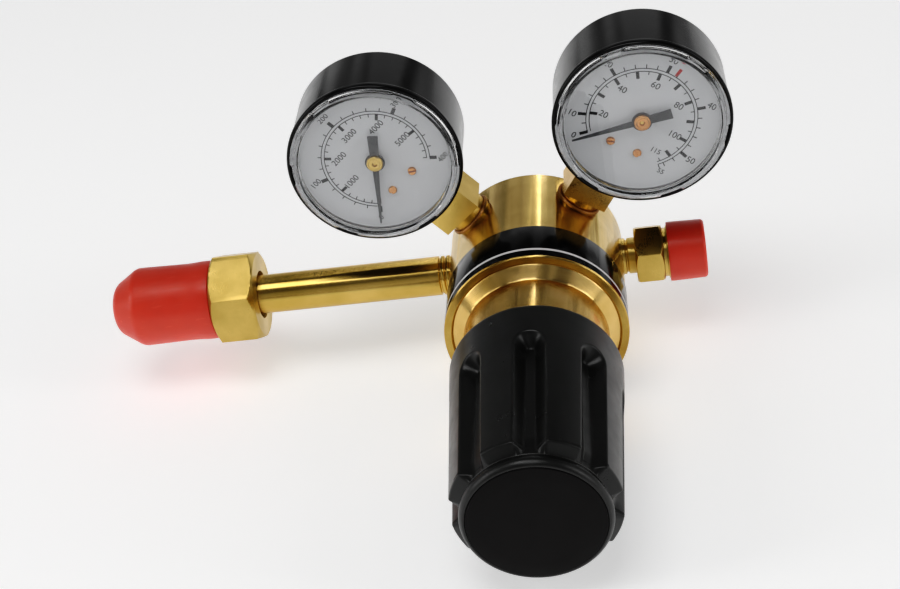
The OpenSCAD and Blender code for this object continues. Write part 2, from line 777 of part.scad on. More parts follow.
module gauge_hub() {
    color(brass) difference() {
        union() {
            rod_y(1.3, dial_y - 0.4, pointer_y - pointer_t - 0.2);
            rod_y(hub_r, pointer_y - pointer_t, hub_front_y);
        }
        rod_y(arbor_r + joint_gap, dial_y, hub_front_y + 0.5);
    }
}

module gauge_vent_plug() {
    color(black) translate([0, 0, 8]) union() {
        rod_y(4 - joint_gap, case_back, case_back - 1.2);
        rod_y(5, case_back - 1 - joint_gap, case_back - 1.6);
    }
}

module gauge_washer() {
    from = body_r + 0.1 - gauge_reach;
    color(bronze) difference() {
        rod_z(shank_thread_r + 0.75, from, from + 1);
        rod_z(shank_thread_r + joint_gap, from - 1, from + 2);
    }
}

// ---- The contents gauge ----

module contents_case() { at_gauge(-left_lean) gauge_case(); }
module contents_lens() { at_gauge(-left_lean) gauge_lens(); }
module contents_dial() { at_gauge(-left_lean) gauge_dial(); }
module contents_dial_screws() { at_gauge(-left_lean) gauge_dial_screws(); }
module contents_socket() { at_gauge(-left_lean) gauge_socket(); }
module contents_bourdon_tube() { at_gauge(-left_lean) gauge_bourdon_tube(); }
module contents_link() { at_gauge(-left_lean) gauge_link(); }
module contents_movement() { at_gauge(-left_lean) gauge_movement(); }
module contents_sector_gear() { at_gauge(-left_lean) gauge_sector_gear(); }
module contents_pinion() { at_gauge(-left_lean) gauge_pinion(); }
module contents_pointer() { at_gauge(-left_lean) gauge_pointer(); }
module contents_hub() { at_gauge(-left_lean) gauge_hub(); }
module contents_vent_plug() { at_gauge(-left_lean) gauge_vent_plug(); }
module contents_washer() { at_gauge(-left_lean) gauge_washer(); }

// ---- The flow gauge ----

module flow_case() { at_gauge(right_lean) gauge_case(); }
module flow_lens() { at_gauge(right_lean) gauge_lens(); }
module flow_dial() { at_gauge(right_lean) gauge_dial(); }
module flow_dial_screws() { at_gauge(right_lean) gauge_dial_screws(); }
module flow_socket() { at_gauge(right_lean) gauge_socket(); }
module flow_bourdon_tube() { at_gauge(right_lean) gauge_bourdon_tube(); }
module flow_link() { at_gauge(right_lean) gauge_link(); }
module flow_movement() { at_gauge(right_lean) gauge_movement(); }
module flow_sector_gear() { at_gauge(right_lean) gauge_sector_gear(); }
module flow_pinion() { at_gauge(right_lean) gauge_pinion(); }
module flow_pointer() { at_gauge(right_lean) gauge_pointer(); }
module flow_hub() { at_gauge(right_lean) gauge_hub(); }
module flow_vent_plug() { at_gauge(right_lean) gauge_vent_plug(); }
module flow_washer() { at_gauge(right_lean) gauge_washer(); }

body();
label_band();
bonnet();
diaphragm();
slip_ring();
diaphragm_plate();
diaphragm_boss();
main_spring();
spring_button();
adjusting_screw();
knob();
knob_cap();
knob_nut();
seat_nozzle();
valve_poppet();
valve_disc();
valve_spring();
inlet_stem();
inlet_filter();
nipple_ring();
inlet_nut();
inlet_cap();
outlet_fitting();
outlet_jet();
outlet_cap();
contents_case();
contents_lens();
contents_dial();
contents_dial_screws();
contents_socket();
contents_bourdon_tube();
contents_link();
contents_movement();
contents_sector_gear();
contents_pinion();
contents_pointer();
contents_hub();
contents_vent_plug();
contents_washer();
flow_case();
flow_lens();
flow_dial();
flow_dial_screws();
flow_socket();
flow_bourdon_tube();
flow_link();
flow_movement();
flow_sector_gear();
flow_pinion();
flow_pointer();
flow_hub();
flow_vent_plug();
flow_washer();
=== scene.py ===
"""Gas regulator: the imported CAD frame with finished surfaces, printed dials, lenses, camera and light."""
import json
import math

import bmesh
import bpy
from mathutils import Matrix, Vector

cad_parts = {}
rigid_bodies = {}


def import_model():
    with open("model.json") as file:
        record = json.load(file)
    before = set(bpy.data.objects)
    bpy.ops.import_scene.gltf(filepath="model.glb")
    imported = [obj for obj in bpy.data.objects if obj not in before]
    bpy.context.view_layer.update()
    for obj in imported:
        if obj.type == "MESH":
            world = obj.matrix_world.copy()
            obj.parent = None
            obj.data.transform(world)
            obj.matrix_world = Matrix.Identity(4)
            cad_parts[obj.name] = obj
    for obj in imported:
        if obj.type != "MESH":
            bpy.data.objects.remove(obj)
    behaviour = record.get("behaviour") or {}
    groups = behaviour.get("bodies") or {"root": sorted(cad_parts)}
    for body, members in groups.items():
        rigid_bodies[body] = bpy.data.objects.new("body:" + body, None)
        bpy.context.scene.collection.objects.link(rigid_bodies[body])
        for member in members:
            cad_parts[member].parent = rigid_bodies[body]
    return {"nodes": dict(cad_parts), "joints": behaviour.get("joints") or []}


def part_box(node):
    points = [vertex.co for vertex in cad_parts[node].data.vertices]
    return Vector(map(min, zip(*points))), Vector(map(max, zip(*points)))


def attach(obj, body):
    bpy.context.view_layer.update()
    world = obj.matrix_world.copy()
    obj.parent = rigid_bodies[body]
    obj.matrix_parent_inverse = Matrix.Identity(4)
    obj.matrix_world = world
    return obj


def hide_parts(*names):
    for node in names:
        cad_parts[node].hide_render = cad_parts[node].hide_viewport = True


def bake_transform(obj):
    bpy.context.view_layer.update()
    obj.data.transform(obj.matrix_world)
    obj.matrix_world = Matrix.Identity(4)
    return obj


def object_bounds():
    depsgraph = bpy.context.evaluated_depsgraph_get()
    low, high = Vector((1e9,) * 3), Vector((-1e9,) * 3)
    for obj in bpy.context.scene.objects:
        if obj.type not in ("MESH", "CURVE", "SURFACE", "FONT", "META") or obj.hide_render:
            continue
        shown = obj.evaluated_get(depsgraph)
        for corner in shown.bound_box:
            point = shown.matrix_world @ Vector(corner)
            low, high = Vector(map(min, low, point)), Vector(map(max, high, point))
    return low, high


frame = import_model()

cad_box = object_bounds()

# ---- Where things are ----

# Named sizes are in millimetres, unless their comment says metres.
MM = 0.001
JOINTS = {joint["name"]: joint for joint in frame["joints"]}
GAUGES = ("contents", "flow")
# The body axis's X and the floor's Z, both in metres.
BODY_X = JOINTS["knob_turn"]["pos_m"][0]
FLOOR_Z = cad_box[0][2]


def body_place():
    """Millimetres about the body axis, at the port plane, to the frame."""
    return Matrix.Translation((BODY_X, 0, 0)) @ Matrix.Scale(MM, 4)


def port_place():
    """As body_place, with the own Y axis along +X, for pieces turned about the port axis."""
    return body_place() @ Matrix.Rotation(math.radians(-90), 4, "Z")


def gauge_lean(name):
    """Angle of a gauge about the body axis, from straight up towards +X."""
    hub = JOINTS[name + "_pointer_turn"]["pos_m"]
    return math.atan2(hub[0] - BODY_X, hub[2])


def gauge_place(name):
    """Millimetres about a gauge's pointer axis to the frame: own X right on the dial and own Z up on it."""
    hub = JOINTS[name + "_pointer_turn"]["pos_m"]
    turn = Matrix.Rotation(gauge_lean(name), 4, "Y")
    return Matrix.Translation((hub[0], 0, hub[2])) @ turn @ Matrix.Scale(MM, 4)


# ---- Mesh helpers ----

ROUNDING_STEPS = 5


def rounded(corners):
    """A profile of (y, radius) points from corners (y, radius, rounding)."""
    points = []
    for i, (y, r, size) in enumerate(corners):
        if not size or i in (0, len(corners) - 1):
            points.append((y, r))
            continue
        here = Vector((y, r))
        start = here + (Vector(corners[i - 1][:2]) - here).normalized() * size
        end = here + (Vector(corners[i + 1][:2]) - here).normalized() * size
        for k in range(ROUNDING_STEPS + 1):
            t = k / ROUNDING_STEPS
            points.append(tuple(start * (1 - t) ** 2 + here * 2 * t * (1 - t) + end * t * t))
    return points


def bridge(bm, a, b):
    """Faces between two rings of a turned shape, either of which may be one point on the axis."""
    count = max(len(a), len(b))
    for i in range(count):
        j = (i + 1) % count
        if len(a) == 1 and len(b) == 1:
            return
        if len(a) == 1:
            bm.faces.new((a[0], b[i], b[j]))
        elif len(b) == 1:
            bm.faces.new((a[i], b[0], a[j]))
        else:
            bm.faces.new((a[i], b[i], b[j], a[j]))


def turned(profile, segments=128, shape=None, ring=False):
    """A shape turned about its own Y axis.

    shape(angle, y, r) may move a point, and ring closes the profile.
    """
    bm = bmesh.new()
    rings = []
    for y, r in profile:
        if r == 0:
            rings.append([bm.verts.new((0, y, 0))])
            continue
        row = []
        for i in range(segments):
            angle = 2 * math.pi * i / segments
            here_y, here_r = shape(angle, y, r) if shape else (y, r)
            row.append(bm.verts.new((here_r * math.sin(angle), here_y, here_r * math.cos(angle))))
        rings.append(row)
    for a, b in zip(rings, rings[1:] + (rings[:1] if ring else [])):
        bridge(bm, a, b)
    return bm


def merged(parts):
    """One bmesh from several."""
    whole = bmesh.new()
    for part in parts:
        mesh = bpy.data.meshes.new("part")
        part.to_mesh(mesh)
        part.free()
        whole.from_mesh(mesh)
        bpy.data.meshes.remove(mesh)
    return whole


def finish_piece(name, bm, place, body, material, replaced=(), sharp=32):
    bmesh.ops.recalc_face_normals(bm, faces=bm.faces)
    bm.transform(place)
    mesh = bpy.data.meshes.new(name)
    bm.to_mesh(mesh)
    bm.free()
    mesh.shade_smooth()
    mesh.set_sharp_from_angle(angle=math.radians(sharp))
    mesh.materials.append(material)
    piece = bpy.data.objects.new(name, mesh)
    bpy.context.scene.collection.objects.link(piece)
    if isinstance(body, tuple):
        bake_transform(piece)
    else:
        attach(piece, body)
    if replaced:
        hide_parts(*replaced)
    return piece


def smoothstep(t):
    """An even ramp from 0 to 1 with flat ends."""
    t = min(1.0, max(0.0, t))
    return t * t * (3 - 2 * t)


# ---- Material helpers ----


def node(tree, kind, inputs=None, **settings):
    """A new shader node. Each input is a value or another node's output socket."""
    new = tree.nodes.new("ShaderNode" + kind)
    for key, value in settings.items():
        setattr(new, key, value)
    for key, value in (inputs or {}).items():
        if isinstance(value, bpy.types.NodeSocket):
            tree.links.new(value, new.inputs[key])
        else:
            new.inputs[key].default_value = value
    return new


def new_material(name):
    """An empty node material and its Principled shader."""
    material = bpy.data.materials.new(name)
    material.use_nodes = True
    tree = material.node_tree
    return material, tree, tree.nodes["Principled BSDF"]


def object_coords(tree):
    """The shaded point's place in its object, in metres."""
    return tree.nodes.new("ShaderNodeTexCoord").outputs["Object"]


def noise(tree, vector, scale, detail=3.0, roughness=0.5):
    """A 0 to 1 noise value. scale is the number of features in one unit of the vector."""
    inputs = {"Vector": vector, "Scale": scale, "Detail": detail, "Roughness": roughness}
    return node(tree, "TexNoise", inputs).outputs["Fac"]


def stretched(tree, vector, scale):
    """Coordinates scaled axis by axis, so that noise runs out into streaks."""
    return node(tree, "Mapping", {"Vector": vector, "Scale": scale}).outputs["Vector"]


def ranged(tree, value, low, high, start=0.3, end=0.7):
    """A value mapped from start..end to low..high."""
    inputs = {"Value": value, "From Min": start, "From Max": end, "To Min": low, "To Max": high}
    return node(tree, "MapRange", inputs).outputs["Result"]


MIX_FACTOR, MIX_FIRST, MIX_SECOND, MIXED_COLOUR = 0, 6, 7, 2


def blended(tree, factor, first, second):
    """Two colours mixed by a factor."""
    new = node(tree, "Mix", data_type="RGBA")
    for key, value in ((MIX_FACTOR, factor), (MIX_FIRST, first), (MIX_SECOND, second)):
        if isinstance(value, bpy.types.NodeSocket):
            tree.links.new(value, new.inputs[key])
        else:
            new.inputs[key].default_value = value
    return new.outputs[MIXED_COLOUR]


def bumped(tree, shader, height, distance):
    """Gives a shader a bump from a 0 to 1 height, distance metres deep."""
    bump = node(tree, "Bump", {"Height": height, "Distance": distance, "Strength": 1.0})
    tree.links.new(bump.outputs["Normal"], shader.inputs["Normal"])


def math_node(tree, operation, a, b=0.0):
    """The result of a maths operation on two values."""
    return node(tree, "Math", {0: a, 1: b}, operation=operation).outputs["Value"]


# ---- Brass ----

BRASS_GOLD = (0.80, 0.57, 0.19, 1)
BRASS_DARK = (0.58, 0.39, 0.10, 1)
# Brown of the stains, and of the darkening in front of a lip.
BRASS_BROWN = (0.30, 0.15, 0.035, 1)
TOOL_LINES = 5200
CLOUD_SCALE = 70
STAIN_SCALE = 240
SMEAR_SCALE = 130
# Metres over which the darkening in front of a lip comes in.
LIP_FADE = 0.0005


def away_from(tree, centre):
    """The vector from a centre to the shaded point."""
    away = node(tree, "VectorMath", {0: object_coords(tree), 1: centre}, operation="SUBTRACT")
    return away.outputs["Vector"]


def turned_coords(tree, axis, centre):
    """Coordinates (distance from a turning axis, place along it, 0), so that noise makes turning lines."""
    split = node(tree, "SeparateXYZ", {0: away_from(tree, centre)})
    across = [key for key in "XYZ" if key != axis]
    squares = [math_node(tree, "POWER", split.outputs[key], 2.0) for key in across]
    radius = math_node(tree, "SQRT", math_node(tree, "ADD", squares[0], squares[1]))
    return node(tree, "CombineXYZ", {"X": radius, "Y": split.outputs[axis]}).outputs["Vector"]


def turning_tangent(tree, axis, centre):
    """Direction of the tool's travel round a turning axis."""
    along = tuple(float(key == axis) for key in "XYZ")
    cross = node(tree, "VectorMath", {0: along, 1: away_from(tree, centre)}, operation="CROSS_PRODUCT")
    return cross.outputs["Vector"]


def brass(name, axis=None, centre=(0, 0, 0), gold=BRASS_GOLD, dark=BRASS_DARK, rough=(0.16, 0.27),
          lip=None, score=0.0000022):
    """Machined brass: fine turning lines about an axis, or a milled grain without one, and stains.

    lip is a place along Y in front of which the metal is darkened towards brown, in cloudy patches. score is
    the depth of the tool's lines.
    Both are in metres.
    """
    material, tree, shader = new_material(name)
    place = object_coords(tree)
    lines_at = turned_coords(tree, axis, centre) if axis else place
    lines = noise(tree, lines_at, TOOL_LINES, detail=2, roughness=0.7)
    cloud = noise(tree, place, CLOUD_SCALE, detail=4)
    stain = ranged(tree, noise(tree, place, STAIN_SCALE, detail=5, roughness=0.7), 0, 1, 0.69, 0.78)
    colour = blended(tree, ranged(tree, cloud, 0, 1, 0.35, 0.7), gold, dark)
    colour = blended(tree, ranged(tree, lines, 0, 0.22), colour, dark)
    colour = blended(tree, math_node(tree, "MULTIPLY", stain, 0.35), colour, BRASS_BROWN)
    if lip:
        # In front of lip the metal is darkened towards brown, in patches of the cloud noise.
        along = node(tree, "SeparateXYZ", {0: place}).outputs["Y"]
        lip_darkening = math_node(tree, "MULTIPLY", ranged(tree, along, 0, 0.75, lip, lip - LIP_FADE), cloud)
        colour = blended(tree, lip_darkening, colour, BRASS_BROWN)
    tree.links.new(colour, shader.inputs["Base Color"])
    shader.inputs["Metallic"].default_value = 1
    smear = noise(tree, place, SMEAR_SCALE, detail=3)
    spread = math_node(tree, "MULTIPLY", math_node(tree, "ADD", smear, lines), 0.5)
    tree.links.new(ranged(tree, spread, rough[0], rough[1], 0.35, 0.65), shader.inputs["Roughness"])
    bumped(tree, shader, lines, score)
    if axis:
        shader.inputs["Anisotropic"].default_value = 0.75
        shader.inputs["Anisotropic Rotation"].default_value = 0.25
        tree.links.new(turning_tangent(tree, axis, centre), shader.inputs["Tangent"])
    return material


# ---- Plastics, rubber and other metals ----


def moulded(name, base, tint, rough, grain_scale, grain_height, specular=0.5):
    """A moulded or painted surface: slight colour drift, uneven gloss and fine grain."""
    material, tree, shader = new_material(name)
    place = object_coords(tree)
    drift = noise(tree, place, 60, detail=4)
    grain = noise(tree, place, grain_scale, detail=2, roughness=0.6)
    tree.links.new(blended(tree, drift, base, tint), shader.inputs["Base Color"])
    smear = noise(tree, place, 150, detail=4, roughness=0.6)
    tree.links.new(ranged(tree, smear, rough[0], rough[1]), shader.inputs["Roughness"])
    shader.inputs["Specular IOR Level"].default_value = specular
    bumped(tree, shader, grain, grain_height)
    return material


def soft_red(name, glow):
    """Soft PVC cap: satin orange-red with faint rubbed streaks. glow is how much light spreads inside it."""
    material, tree, shader = new_material(name)
    place = object_coords(tree)
    drift = noise(tree, place, 90, detail=3)
    streaks = noise(tree, stretched(tree, place, (0.2, 1, 1)), 900)
    colour = blended(tree, drift, (0.83, 0.080, 0.042, 1), (0.70, 0.050, 0.026, 1))
    colour = blended(tree, ranged(tree, streaks, 0, 0.35, 0.62, 0.8), colour, (0.95, 0.16, 0.09, 1))
    tree.links.new(colour, shader.inputs["Base Color"])
    tree.links.new(ranged(tree, streaks, 0.28, 0.46), shader.inputs["Roughness"])
    shader.inputs["Subsurface Weight"].default_value = glow
    shader.inputs["Subsurface Radius"].default_value = (0.004, 0.0008, 0.0004)
    shader.inputs["Subsurface Scale"].default_value = 1
    bumped(tree, shader, drift, 0.00002)
    return material


def clear_plastic(name):
    """Moulded clear polycarbonate: smooth, with hair scratches in its gloss."""
    material, tree, shader = new_material(name)
    place = object_coords(tree)
    shader.inputs["Base Color"].default_value = (1, 1, 1, 1)
    shader.inputs["Transmission Weight"].default_value = 1
    shader.inputs["IOR"].default_value = 1.5
    scratches = noise(tree, stretched(tree, place, (1, 1, 0.06)), 2600)
    tree.links.new(ranged(tree, scratches, 0.0, 0.05, 0.66, 0.8), shader.inputs["Roughness"])
    see_through = node(tree, "BsdfTransparent")
    shadow = node(tree, "LightPath").outputs["Is Shadow Ray"]
    mix = node(tree, "MixShader", {0: shadow, 1: shader.outputs[0], 2: see_through.outputs[0]})
    tree.links.new(mix.outputs[0], tree.nodes["Material Output"].inputs["Surface"])
    return material


STEEL_LIGHT = (0.56, 0.57, 0.58, 1)
STEEL_DARK = (0.34, 0.35, 0.37, 1)


def ground_steel(name):
    """Drawn or ground steel with a fine brushed grain."""
    material, tree, shader = new_material(name)
    place = object_coords(tree)
    grain = noise(tree, place, 2400, detail=3)
    cloud = noise(tree, place, 120, detail=4)
    tree.links.new(blended(tree, cloud, STEEL_LIGHT, STEEL_DARK), shader.inputs["Base Color"])
    shader.inputs["Metallic"].default_value = 1
    tree.links.new(ranged(tree, grain, 0.22, 0.42), shader.inputs["Roughness"])
    bumped(tree, shader, grain, 0.000004)
    return material


def dial_paint(name):
    """Silvery white dial enamel with a very fine speckle."""
    material, tree, shader = new_material(name)
    place = object_coords(tree)
    speckle = noise(tree, place, 3800, detail=2)
    cloud = noise(tree, place, 45, detail=2)
    colour = blended(tree, cloud, (0.66, 0.675, 0.70, 1), (0.74, 0.75, 0.765, 1))
    colour = blended(tree, ranged(tree, speckle, 0, 0.12), colour, (0.46, 0.47, 0.49, 1))
    tree.links.new(colour, shader.inputs["Base Color"])
    tree.links.new(ranged(tree, speckle, 0.4, 0.55), shader.inputs["Roughness"])
    bumped(tree, shader, speckle, 0.000002)
    return material


Y_AXIS = ("Y", (BODY_X, 0, 0))
X_AXIS = ("X", (0, 0, 0))
MAT = {
    "turned_body": brass("brass_turned_body", *Y_AXIS, lip=-0.0366),
    "turned_bonnet": brass("brass_turned_bonnet", *Y_AXIS, gold=(0.83, 0.58, 0.235, 1),
                           dark=(0.62, 0.40, 0.12, 1)),
    "turned_inside": brass("brass_turned_inside", *Y_AXIS),
    "turned_stem": brass("brass_turned_stem", *X_AXIS, gold=(0.72, 0.50, 0.16, 1), rough=(0.22, 0.26),
                         score=0.0000005),
    "turned_port": brass("brass_turned_port", *X_AXIS),
    "turned_nut": brass("brass_turned_nut", *X_AXIS, gold=(0.72, 0.52, 0.17, 1), dark=(0.48, 0.33, 0.09, 1),
                        rough=(0.25, 0.38)),
    "milled": brass("brass_milled", rough=(0.24, 0.38)),
    "milled_warm": brass("brass_milled_warm", gold=(0.76, 0.51, 0.19, 1), dark=(0.54, 0.33, 0.10, 1),
                         rough=(0.2, 0.34)),
    "copper": brass("hub_copper", gold=(0.76, 0.42, 0.18, 1), dark=(0.5, 0.22, 0.08, 1)),
    "knob": moulded("knob_black", (0.012, 0.0125, 0.012, 1), (0.020, 0.020, 0.019, 1), (0.27, 0.40),
                    grain_scale=2600, grain_height=0.00001),
    "knob_end": moulded("knob_end_black", (0.006, 0.005, 0.005, 1), (0.010, 0.009, 0.009, 1), (0.4, 0.5),
                        grain_scale=2600, grain_height=0.000008, specular=0.2),
    "case": moulded("case_black", (0.006, 0.006, 0.007, 1), (0.010, 0.010, 0.009, 1), (0.10, 0.20),
                    grain_scale=900, grain_height=0.000003, specular=0.26),
    "band": moulded("band_black", (0.004, 0.004, 0.004, 1), (0.007, 0.007, 0.007, 1), (0.1, 0.17),
                    grain_scale=1500, grain_height=0.000003, specular=0.22),
    "white": moulded("white_print", (0.82, 0.80, 0.80, 1), (0.74, 0.72, 0.72, 1), (0.3, 0.42),
                     grain_scale=2500, grain_height=0.000002),
    "print": moulded("black_print", (0.012, 0.012, 0.014, 1), (0.022, 0.022, 0.024, 1), (0.45, 0.6),
                     grain_scale=4000, grain_height=0.000001),
    "red_print": moulded("red_print", (0.55, 0.015, 0.01, 1), (0.45, 0.01, 0.01, 1), (0.45, 0.6),
                         grain_scale=4000, grain_height=0.000001),
    "pointer": moulded("pointer_grey", (0.045, 0.047, 0.052, 1), (0.065, 0.067, 0.072, 1), (0.3, 0.45),
                       grain_scale=2600, grain_height=0.000003),
    "rubber": moulded("rubber", (0.012, 0.012, 0.012, 1), (0.025, 0.024, 0.023, 1), (0.55, 0.75),
                      grain_scale=1800, grain_height=0.00001),
    "nylon": moulded("nylon", (0.72, 0.70, 0.62, 1), (0.64, 0.62, 0.55, 1), (0.35, 0.5),
                     grain_scale=1400, grain_height=0.000006),
    "cap_inlet": soft_red("cap_red_inlet", 0.25),
    "cap_outlet": soft_red("cap_red_outlet", 0.5),
    "lens": clear_plastic("lens_clear"),
    "steel": ground_steel("steel"),
    "bronze": brass("bronze", gold=(0.52, 0.29, 0.12, 1), dark=(0.38, 0.19, 0.07, 1), rough=(0.3, 0.5)),
    "dial": dial_paint("dial_grey"),
}

NODE_MATERIALS = {
    "turned_body": ("body",),
    "turned_bonnet": ("bonnet",),
    "turned_inside": ("seat_nozzle", "valve_poppet", "diaphragm_plate", "diaphragm_boss"),
    "turned_stem": ("inlet_stem",),
    "turned_port": ("outlet_jet",),
    "turned_nut": ("inlet_nut", "outlet_fitting"),
    "band": ("label_band",),
    "knob": ("knob", "knob_cap"),
    "rubber": ("diaphragm", "nipple_ring"),
    "steel": ("slip_ring", "main_spring", "spring_button", "adjusting_screw", "knob_nut", "valve_spring"),
    "nylon": ("valve_disc",),
    "bronze": ("inlet_filter",),
    "cap_inlet": ("inlet_cap",),
    "cap_outlet": ("outlet_cap",),
}
GAUGE_MATERIALS = {
    "case": ("case",),
    "lens": ("lens",),
    "dial": ("dial",),
    "milled": ("dial_screws", "socket", "movement", "sector_gear", "pinion", "hub"),
    "bronze": ("bourdon_tube", "washer"),
    "steel": ("link",),
    "pointer": ("pointer",),
    "rubber": ("vent_plug",),
}
WARM_SOCKET = ("flow_socket", "milled_warm")


def paint_nodes():
    """Gives every CAD node its finished material."""
    jobs = [(name, key) for key, names in NODE_MATERIALS.items() for name in names]
    for gauge in GAUGES:
        jobs += [(f"{gauge}_{part}", key) for key, parts in GAUGE_MATERIALS.items() for part in parts]
    jobs.append(WARM_SOCKET)
    for name, key in jobs:
        frame["nodes"][name].material_slots[0].material = MAT[key]


SOFT_EDGES = {"body": 0.35, "bonnet": 0.2, "inlet_stem": 0.12, "outlet_fitting": 0.2, "label_band": 0.06}
GAUGE_SOFT_EDGES = {"socket": 0.3, "washer": 0.2, "pointer": 0.08}
SOFT_ANGLE = math.radians(30)


def soften_edges(name, width):
    """Rounds a CAD node's edges: its faces are joined first, because they arrive apart."""
    piece = frame["nodes"][name]
    weld = piece.modifiers.new("join", "WELD")
    weld.merge_threshold = 0.000002
    bevel = piece.modifiers.new("round", "BEVEL")
    bevel.width = width * MM
    bevel.segments = 3
    bevel.limit_method = "ANGLE"
    bevel.angle_limit = SOFT_ANGLE
    bevel.harden_normals = True


# ---- Knob ----

KNOB_BACK = -58.0
KNOB_FRONT = -121.5
KNOB_R = 25.4
MOUTH_R = 22.6
WALL_START = KNOB_BACK - 1.0
HOLLOW_R = 18.0
HOLLOW_MOUTH_END = -68.0
HOLLOW_END = -80.0
LAND_FRONT_R = 23.4
LAND_END = -115.0
COLLAR_R = 20.7
DISC_R = 19.5
CAP_R = 18.8
GROOVES = 8
KNOB_SEGMENTS = GROOVES * 60
GROOVE_TURN = math.radians(2.5)
GROOVE_START = -69.5
GROOVE_HALF = 4.7
GROOVE_FLOOR_HALF = 1.2
GROOVE_DEPTH = 5.0
GROOVE_LIP = 0.2
GROOVE_RUN_OUT = 6.0
GROOVE_FALL = 0.7
WALL_STEP = 0.6
WALL_STEP_FINE = 0.2


def knob_groove(angle, y, r):
    """The knob's outer wall with its grooves pressed in, softer at their round starts."""
    if y < LAND_END - 2 or y > KNOB_BACK - 2:
        return y, r
    pitch = 2 * math.pi / GROOVES
    side = (angle - GROOVE_TURN + pitch / 2) % pitch - pitch / 2
    across = abs(side) * r
    centre = GROOVE_START - GROOVE_HALF
    distance = math.hypot(across, max(0.0, y - centre))
    t = min(1.0, max(0.0, (GROOVE_HALF - distance) / (GROOVE_HALF - GROOVE_FLOOR_HALF)))
    straight = (1 - smoothstep((y - centre) / 2 + 0.5)) / 2
    crisp = math.sin(t * math.pi / 2) * smoothstep(t / GROOVE_LIP)
    press = smoothstep(t) * (1 - straight) + crisp * straight
    run_out = smoothstep((LAND_END + 4 - y) / GROOVE_RUN_OUT)
    floor_r = KNOB_R - GROOVE_DEPTH - GROOVE_FALL * run_out
    return y, min(r, r + (floor_r - r) * press)


def make_knob():
    """Hand knob: fluted wall, chamfered lands, collar and the hollow that takes the bonnet's nose."""
    wall = [(KNOB_BACK, MOUTH_R + 0.4), (KNOB_BACK, KNOB_R - 0.9), (KNOB_BACK - 0.12, KNOB_R - 0.45),
            (KNOB_BACK - 0.45, KNOB_R - 0.12), (KNOB_BACK - 0.9, KNOB_R)]
    taper = (LAND_FRONT_R - KNOB_R) / (WALL_START - LAND_END)
    y = WALL_START
    while y > LAND_END + WALL_STEP:
        y -= WALL_STEP_FINE if abs(y - GROOVE_START + GROOVE_HALF / 2) < GROOVE_HALF else WALL_STEP
        wall.append((y, KNOB_R + taper * (WALL_START - y)))
    front = rounded([(LAND_END, LAND_FRONT_R, 0), (LAND_END - 0.7, LAND_FRONT_R - 0.1, 0.5),
                     (LAND_END - 2.2, COLLAR_R - 1.0, 0.7), (LAND_END - 4.3, COLLAR_R, 0.8),
                     (KNOB_FRONT + 0.9, COLLAR_R - 0.5, 0.6), (KNOB_FRONT + 0.2, DISC_R, 0.3),
                     (KNOB_FRONT + 0.15, CAP_R + 0.12, 0.1), (KNOB_FRONT + 2.3, CAP_R + 0.1, 0),
                     (KNOB_FRONT + 2.3, 0, 0)])
    inside = [(KNOB_BACK - 0.4, MOUTH_R), (HOLLOW_MOUTH_END, MOUTH_R), (HOLLOW_MOUTH_END, HOLLOW_R),
              (HOLLOW_END, HOLLOW_R - 0.2), (HOLLOW_END, 0)]
    outer = turned(wall + front, segments=KNOB_SEGMENTS, shape=knob_groove)
    hollow = turned(inside, segments=KNOB_SEGMENTS)
    bm = merged([outer, hollow])
    open_edges = [edge for edge in bm.edges if edge.is_boundary]
    bmesh.ops.bridge_loops(bm, edges=open_edges)
    finish_piece("knob_grip", bm, body_place(), "knob_group", MAT["knob"], ("knob",), sharp=60)


def make_knob_cap():
    """Slightly domed end cap with a rounded edge."""
    y = KNOB_FRONT
    corners = [(y + 2.2, 0, 0), (y + 2.2, CAP_R, 0), (y - 0.05, CAP_R, 0.3), (y - 0.28, CAP_R * 0.8, 0.6),
               (y - 0.42, CAP_R * 0.5, 2), (y - 0.5, 0, 0)]
    bm = turned(rounded(corners), segments=160)
    finish_piece("knob_end_cap", bm, body_place(), "knob_group", MAT["knob_end"], ("knob_cap",))


# ---- Dust caps ----

INLET_CAP_BORE = 11.6
OUTLET_CAP_BORE = 8.42


def make_inlet_cap():
    """Dipped cap on the inlet nut's thread: waisted behind the lip, coned and rounded at the end."""
    low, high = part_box("inlet_cap")
    start, end = (low.x - BODY_X) / MM, (high.x - BODY_X) / MM
    r = (high.y - low.y) / 2 / MM
    corners = [(end, INLET_CAP_BORE, 0), (end, r - 0.1, 0.4), (end - 3, r, 1.5), (end - 8, r - 0.35, 3),
               (start + 8.2, r, 1.3), (start + 1.1, r * 0.64, 1.2), (start, r * 0.48, 0.7), (start, 0, 0)]
    inside = [(start + 2, 0), (start + 2, 6), (start + 12, 10), (start + 17, INLET_CAP_BORE - 0.1)]
    bm = turned(rounded(corners) + inside, segments=160)
    place, material = port_place(), MAT["cap_inlet"]
    finish_piece("inlet_dust_cap", bm, place, "inlet_cap_group", material, ("inlet_cap",))


def make_outlet_cap():
    """Short moulded cap on the outlet's thread, with crisp rounded ends."""
    low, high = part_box("outlet_cap")
    start, end = (low.x - BODY_X) / MM, (high.x - BODY_X) / MM
    r = (high.y - low.y) / 2 / MM
    corners = [(start, OUTLET_CAP_BORE, 0), (start, r - 0.05, 0.25), (start + 1.2, r, 0.3),
               (end - 0.6, r - 0.2, 0.6), (end, r - 1.0, 0.3), (end - 0.35, r - 2.2, 0.5), (end - 0.35, 0, 0)]
    inside = [(end - 1.6, 0), (end - 1.6, OUTLET_CAP_BORE)]
    bm = turned(rounded(corners) + inside, segments=144)
    place, material = port_place(), MAT["cap_outlet"]
    finish_piece("outlet_dust_cap", bm, place, "outlet_cap_group", material, ("outlet_cap",))


# ---- Springs ----

COIL_STEPS = 32
WIRE_SIDES = 12
# Moving body, wire radius and turns.
SPRINGS = {"main_spring": ("screw_feed", 1.5, 5), "valve_spring": ("valve_group", 0.4, 5)}


